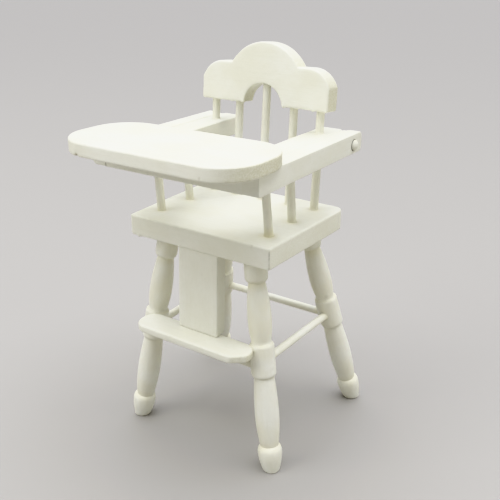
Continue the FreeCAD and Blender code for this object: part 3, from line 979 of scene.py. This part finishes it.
# Paint hangs from the lower front arris: distance right of the middle, reach and rise.
hanging_paint = []
for across, reach, rise in (
    (-5.6, 0.8, 0.3), (6.0, 0.7, 0.3), (14.0, 0.7, 0.3), (17.3, 0.6, 0.25), (-9.0, 0.7, 0.15),
):
    bead = crest_place @ Vector((across * mm, 0.1 * mm, 4.1 * mm))
    hanging_paint.append((bead, reach * mm, rise * mm))
weathered(crest, axes[along_x], 81, waviness=0.05 * mm, torn=0.06 * mm, drips=hanging_paint)
fitted(crest, "frame", "crest_rail", cross_paint)

# --- Tray arms --------------------------------------------------------------------------------
# Two arms outside the armrests carry the tray.  Each turns on a pin near its rear end, so the
# whole tray swings up and over the back.  The pin's head sits in a shallow seat in the arm.

knocked_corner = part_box("tray_arm_left")[0].copy()
knocks = {"left": [(knocked_corner, 1.1 * mm, -0.32 * mm)], "right": []}
head_seat_radius = 1.46 * mm
head_seat_depth = 0.14 * mm
crack_steps = 20
for number, side in enumerate(("left", "right")):
    node = f"tray_arm_{side}"
    tray_arm = straight_arm(node, arm_easing[side])
    low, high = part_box(node)
    hole = (
        Vector((low.x - mm, hinge_point.y, hinge_point.z)),
        Vector((high.x + mm, hinge_point.y, hinge_point.z)),
        pin_shank + 0.05 * mm,
    )
    bored(tray_arm, [hole])
    outer, inner, outward = (high, low, 1) if side == "right" else (low, high, -1)
    head_seat_floor = Vector((outer.x - outward * head_seat_depth, hinge_point.y, hinge_point.z))
    bored(tray_arm, [(head_seat_floor, head_seat_floor + Vector((outward * mm, 0, 0)), head_seat_radius)])
    # The foot of the groove round the head's seat is darkened: painted shade in the groove.
    crack = []
    for step in range(crack_steps):
        angles = (math.tau * step / crack_steps, math.tau * (step + 1) / crack_steps)
        here, following = (
            head_seat_floor + head_seat_radius * Vector((0, math.cos(angle), math.sin(angle)))
            for angle in angles
        )
        crack.append((here, following, head_seat_depth))
    seam_end = Vector((inner.x, high.y - 0.9 * mm, high.z))
    weathered(
        tray_arm, axes[along_y], number + 91, waviness=0.03 * mm, torn=0.04 * mm, soak_and_shade=0.0,
        drips=[(seam_end, *seam_dent), *knocks[side]], crack_shadows=crack,
    )
    fitted(tray_arm, "tray", node, length_paint)

# --- Tray cross rail --------------------------------------------------------------------------
# A square rail glued between the front ends of the tray arms, under the tray.  Paint bridges the
# two joints at its ends, so it reaches a little way over the arms' eased arrises.

rail_low, rail_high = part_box("tray_cross_rail")
rail_easing = 0.15 * mm
paint_bridge = 0.18 * mm
cross_rail = plank(
    "tray_cross_rail_painted",
    sawn_outline([
        (rail_low.y, rail_low.z, rail_easing), (rail_high.y, rail_low.z, rail_easing),
        (rail_high.y, rail_high.z, rail_easing), (rail_low.y, rail_high.z, rail_easing),
    ]),
    rail_high.x - rail_low.x + 2 * paint_bridge, 0.05 * mm, side_on(rail_low.x - paint_bridge),
)
# The thin dark line down the left joint is painted shade in the seam between rail and arm.
joint_low = Vector((rail_low.x - paint_bridge, rail_low.y, rail_low.z))
joint_high = Vector((rail_low.x - paint_bridge, rail_low.y, rail_high.z))
weathered(cross_rail, axes[along_x], 95, crack_shadows=[(joint_low, joint_high, 0.2 * mm)])
fitted(cross_rail, "tray", "tray_cross_rail", cross_paint)

# --- Tray board -------------------------------------------------------------------------------
# A wide board with nearly half-round ends and softened edges, glued on the arms and the rail.
# Its edge has a few knocks, and round its ends the paint has sunk into the open grain and is
# darkened with painted shade.

board_low, board_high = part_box("tray_board")
board_corner = 9.1 * mm
board_easing = 0.4 * mm
tray_board = plank(
    "tray_board_painted",
    sawn_outline([
        (board_low.x, board_low.y, board_corner),
        (board_high.x, board_low.y, board_corner),
        (board_high.x, board_high.y, board_corner),
        (board_low.x, board_high.y, board_corner),
    ]),
    board_high.z - board_low.z, board_easing, Matrix.Translation((0, 0, board_low.z)),
)
lower_chip = Vector((-16.6 * mm, board_low.y + 0.2 * mm, board_low.z + 0.2 * mm))
edge_chip = Vector((15.8 * mm, board_low.y + 0.05 * mm, board_low.z + 0.6 * mm))
weathered(
    tray_board, axes[along_x], 96, waviness=0.045 * mm, torn=0.07 * mm,
    nicks=[(lower_chip, 0.7 * mm, 0.25 * mm), (edge_chip, 0.4 * mm, 0.1 * mm)],
)
fitted(tray_board, "tray", "tray_board", cross_paint)

# --- Pivot pins -------------------------------------------------------------------------------
# A domed brass nail through each tray arm into the armrest is the tray's hinge.  Its head was
# painted over with the rest, and the paint has cracked round it where the arm turns.

nail_paint = brushed_paint("painted_nail_head", along_x)
head_radius = 1.35
head_rise = 0.85
for side in ("left", "right"):
    node = f"pivot_pin_{side}"
    low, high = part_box(node)
    sign = 1 if side == "right" else -1
    tip = Vector((sign * min(abs(low.x), abs(high.x)), hinge_point.y, hinge_point.z))
    crown = Vector((sign * max(abs(low.x), abs(high.x)), hinge_point.y, hinge_point.z))
    length = (crown - tip).length / mm
    under_head = length - head_rise
    shank = pin_shank / mm
    dome = (head_radius ** 2 + head_rise ** 2) / (2 * head_rise)
    point_length = 0.9
    profile = [(0.0, 0.12), (0.5, 0.45), (point_length, shank)]
    profile += [(point_length + (under_head - 1.0) * i / 8, shank) for i in range(1, 9)]
    profile += [(under_head - 0.02, shank), (under_head, head_radius - 0.05)]
    for i in range(1, 13):
        rise = head_rise * i / 12 * 0.995
        profile.append((under_head + rise, math.sqrt(dome ** 2 - (dome - head_rise + rise) ** 2)))
    profile = [(distance * mm, radius * mm) for distance, radius in profile]
    nail = turned(node + "_nail", profile, tip, crown, 32, 99, unevenness=0.03, paint=nail_paint)
    weathered(nail, axes[along_z], 99, waviness=0)
    fitted(nail, "frame", node)

# --- Floor and lights -------------------------------------------------------------------------
# A plain pale table top under a wide soft ceiling light, with one soft light at each side.

floor_mesh = bpy.data.meshes.new("floor")
reach = 6.0
floor_mesh.from_pydata(
    [(-reach, -reach, 0), (reach, -reach, 0), (reach, reach, 0), (-reach, reach, 0)],
    [], [(0, 1, 2, 3)],
)
floor = bpy.data.objects.new("floor", floor_mesh)
bpy.context.scene.collection.objects.link(floor)
floor_paint = bpy.data.materials.new("pale_floor")
floor_paint.use_nodes = True
floor_shader = floor_paint.node_tree.nodes["Principled BSDF"]
floor_shader.inputs["Base Color"].default_value = (0.312, 0.300, 0.270, 1)
floor_shader.inputs["Roughness"].default_value = 0.7
floor_mesh.materials.append(floor_paint)


def soft_light(name, place, size, power, colour):
    lamp = bpy.data.objects.new(name, bpy.data.lights.new(name, "AREA"))
    lamp.data.size = size
    lamp.data.energy = power
    lamp.data.color = colour
    lamp.location = place
    chair_middle = Vector((0, 0, 0.05))
    lamp.rotation_euler = (Vector(place) - chair_middle).to_track_quat("Z", "Y").to_euler()
    bpy.context.scene.collection.objects.link(lamp)


soft_light("left_side", (-0.30, -0.42, 0.42), 0.4, 1.75, (1.0, 1.0, 1.0))
soft_light("right_side", (0.46, 0.14, 0.24), 0.4, 0.55, (1.0, 0.99, 0.90))

ceiling = bpy.data.objects.new("ceiling_light", bpy.data.lights.new("ceiling_light", "SUN"))
ceiling.data.angle = math.radians(80)
ceiling.data.energy = 5.45
ceiling.data.color = (0.880, 0.892, 1.0)
ceiling.rotation_euler = (math.radians(-4), 0, 0)
bpy.context.scene.collection.objects.link(ceiling)

world = bpy.data.worlds.new("room")
world.use_nodes = True
world.node_tree.nodes["Background"].inputs["Color"].default_value = (1, 0.995, 0.92, 1)
world.node_tree.nodes["Background"].inputs["Strength"].default_value = 0.26
bpy.context.scene.world = world
bpy.context.scene.view_settings.view_transform = "Khronos PBR Neutral"
